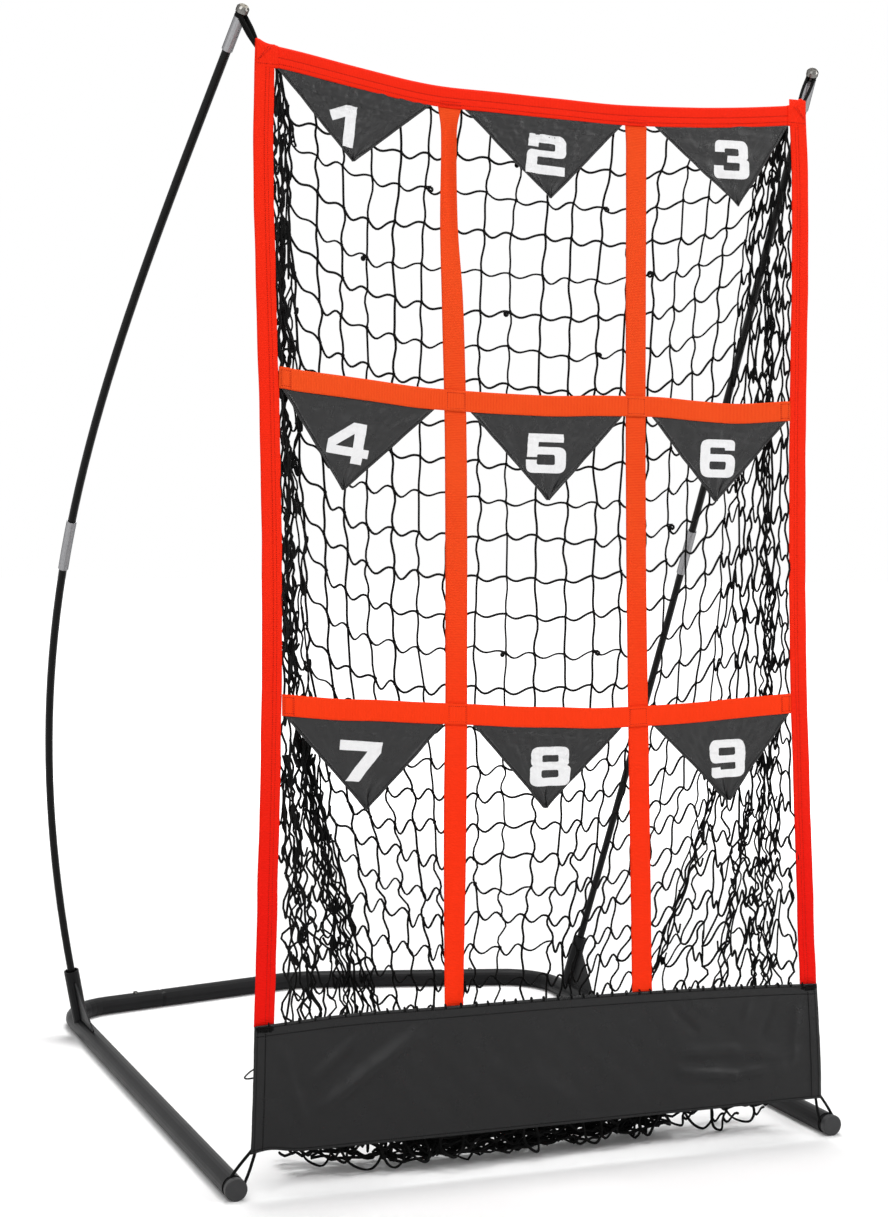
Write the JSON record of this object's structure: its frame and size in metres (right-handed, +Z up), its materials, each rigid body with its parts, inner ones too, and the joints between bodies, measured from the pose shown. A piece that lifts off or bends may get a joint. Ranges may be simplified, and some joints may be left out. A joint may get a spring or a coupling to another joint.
{
  "type": "pitching target net",
  "caption": "Free-standing pitching target: webbing face with numbered pennants over a net bag, held by two bowed poles on a tube base.",
  "frame": {"origin": "centre of the base's outline on the floor", "axes": "+Z up, the face looks along -Y, +X to the right of a thrower who faces the target's windows"},
  "size_m": [1.1574, 1.193, 1.6388],
  "materials": {
    "left_bottom_loop": "braided elastic cord",
    "left_inner_vertical_band": "ribbed webbing, matt",
    "left_leg_end_cap": "matte",
    "left_pole_lower_rod": "glass-fibre rod, semi-gloss",
    "left_pole_mid_ferrule": "satin",
    "left_pole_socket": "satin powder coat",
    "left_pole_tip_cap": "polished",
    "left_pole_tip_ferrule": "satin",
    "left_pole_upper_rod": "glass-fibre rod, semi-gloss",
    "left_side_sleeve": "woven binding, matt",
    "left_side_tube": "satin powder coat",
    "left_snap_button": "polished",
    "left_snap_spring": "satin",
    "left_socket_gusset": "satin powder coat",
    "left_top_loop": "braided elastic cord",
    "lower_cross_band": "ribbed webbing, matt",
    "net_bag": "knotted netting",
    "pennant_1": "woven nylon, matt",
    "pennant_2": "woven nylon, matt",
    "pennant_3": "woven nylon, matt",
    "pennant_4": "woven nylon, matt",
    "pennant_5": "woven nylon, matt",
    "pennant_6": "woven nylon, matt",
    "pennant_7": "woven nylon, matt",
    "pennant_8": "woven nylon, matt",
    "pennant_9": "woven nylon, matt",
    "rear_cross_tube": "satin powder coat",
    "right_bottom_loop": "braided elastic cord",
    "right_inner_vertical_band": "ribbed webbing, matt",
    "right_leg_end_cap": "matte",
    "right_pole_lower_rod": "glass-fibre rod, semi-gloss",
    "right_pole_mid_ferrule": "satin",
    "right_pole_socket": "satin powder coat",
    "right_pole_tip_cap": "polished",
    "right_pole_tip_ferrule": "satin",
    "right_pole_upper_rod": "glass-fibre rod, semi-gloss",
    "right_side_sleeve": "woven binding, matt",
    "right_side_tube": "satin powder coat",
    "right_snap_button": "polished",
    "right_snap_spring": "satin",
    "right_socket_gusset": "satin powder coat",
    "right_top_loop": "braided elastic cord",
    "skirt": "coated cloth, slight sheen",
    "top_band": "woven binding, matt",
    "upper_cross_band": "ribbed webbing, matt"
  },
  "bodies": {
    "frame": {"left_bottom_loop": "left_bottom_loop", "left_inner_vertical_band": "left_inner_vertical_band", "left_leg_end_cap": "left_leg_end_cap", "left_pole_lower_rod": "left_pole_lower_rod", "left_pole_mid_ferrule": "left_pole_mid_ferrule", "left_pole_socket": "left_pole_socket", "left_pole_tip_cap": "left_pole_tip_cap", "left_pole_tip_ferrule": "left_pole_tip_ferrule", "left_pole_upper_rod": "left_pole_upper_rod", "left_side_sleeve": "left_side_sleeve", "left_side_tube": "left_side_tube", "left_snap_spring": "left_snap_spring", "left_socket_gusset": "left_socket_gusset", "left_top_loop": "left_top_loop", "lower_cross_band": "lower_cross_band", "net_bag": "net_bag", "rear_cross_tube": "rear_cross_tube", "right_bottom_loop": "right_bottom_loop", "right_inner_vertical_band": "right_inner_vertical_band", "right_leg_end_cap": "right_leg_end_cap", "right_pole_lower_rod": "right_pole_lower_rod", "right_pole_mid_ferrule": "right_pole_mid_ferrule", "right_pole_socket": "right_pole_socket", "right_pole_tip_cap": "right_pole_tip_cap", "right_pole_tip_ferrule": "right_pole_tip_ferrule", "right_pole_upper_rod": "right_pole_upper_rod", "right_side_sleeve": "right_side_sleeve", "right_side_tube": "right_side_tube", "right_snap_spring": "right_snap_spring", "right_socket_gusset": "right_socket_gusset", "right_top_loop": "right_top_loop", "skirt": "skirt", "top_band": "top_band", "upper_cross_band": "upper_cross_band"},
    "left_snap_button": {"left_snap_button": "left_snap_button"},
    "pennant_1": {"pennant_1": "pennant_1"},
    "pennant_2": {"pennant_2": "pennant_2"},
    "pennant_3": {"pennant_3": "pennant_3"},
    "pennant_4": {"pennant_4": "pennant_4"},
    "pennant_5": {"pennant_5": "pennant_5"},
    "pennant_6": {"pennant_6": "pennant_6"},
    "pennant_7": {"pennant_7": "pennant_7"},
    "pennant_8": {"pennant_8": "pennant_8"},
    "pennant_9": {"pennant_9": "pennant_9"},
    "right_snap_button": {"right_snap_button": "right_snap_button"}
  },
  "joints": [
    {"name": "pennant_1_swing", "type": "hinge", "parent": "frame", "child": "pennant_1", "pos_m": [-0.28714, -0.4896, 1.53754], "axis": [0.9922, -0.0086, -0.1244], "range_deg": [-98, 20]},
    {"name": "pennant_2_swing", "type": "hinge", "parent": "frame", "child": "pennant_2", "pos_m": [0, -0.49083, 1.5197], "axis": [1, 0, 0], "range_deg": [-98, 20]},
    {"name": "pennant_3_swing", "type": "hinge", "parent": "frame", "child": "pennant_3", "pos_m": [0.28714, -0.48988, 1.53355], "axis": [0.9953, 0.0067, 0.0969], "range_deg": [-98, 20]},
    {"name": "pennant_4_swing", "type": "hinge", "parent": "frame", "child": "pennant_4", "pos_m": [-0.28529, -0.51978, 1.09942], "axis": [0.9966, -0.0057, -0.0827], "range_deg": [-98, 30]},
    {"name": "pennant_5_swing", "type": "hinge", "parent": "frame", "child": "pennant_5", "pos_m": [0, -0.52051, 1.08877], "axis": [1, 0.0005, 0.0069], "range_deg": [-98, 30]},
    {"name": "pennant_6_swing", "type": "hinge", "parent": "frame", "child": "pennant_6", "pos_m": [0.28529, -0.52041, 1.0903], "axis": [1, 0.0003, 0.0038], "range_deg": [-98, 30]},
    {"name": "pennant_7_swing", "type": "hinge", "parent": "frame", "child": "pennant_7", "pos_m": [-0.28448, -0.55073, 0.65002], "axis": [0.9978, -0.0046, -0.0666], "range_deg": [-98, 46]},
    {"name": "pennant_8_swing", "type": "hinge", "parent": "frame", "child": "pennant_8", "pos_m": [0, -0.55166, 0.63645], "axis": [0.9996, -0.002, -0.0293], "range_deg": [-98, 46]},
    {"name": "pennant_9_swing", "type": "hinge", "parent": "frame", "child": "pennant_9", "pos_m": [0.28448, -0.55141, 0.64019], "axis": [0.9984, 0.0039, 0.0571], "range_deg": [-98, 46]},
    {"name": "left_snap_button_press", "type": "slide", "parent": "frame", "child": "left_snap_button", "axis": [0, 0, -1], "range_m": [0, 0.0049], "stiffness_N_per_m": 900, "springref_m": -0.002, "deforming": ["left_snap_spring"]},
    {"name": "right_snap_button_press", "type": "slide", "parent": "frame", "child": "right_snap_button", "axis": [0, 0, -1], "range_m": [0, 0.0049], "stiffness_N_per_m": 900, "springref_m": -0.002, "deforming": ["right_snap_spring"]}
  ]
}
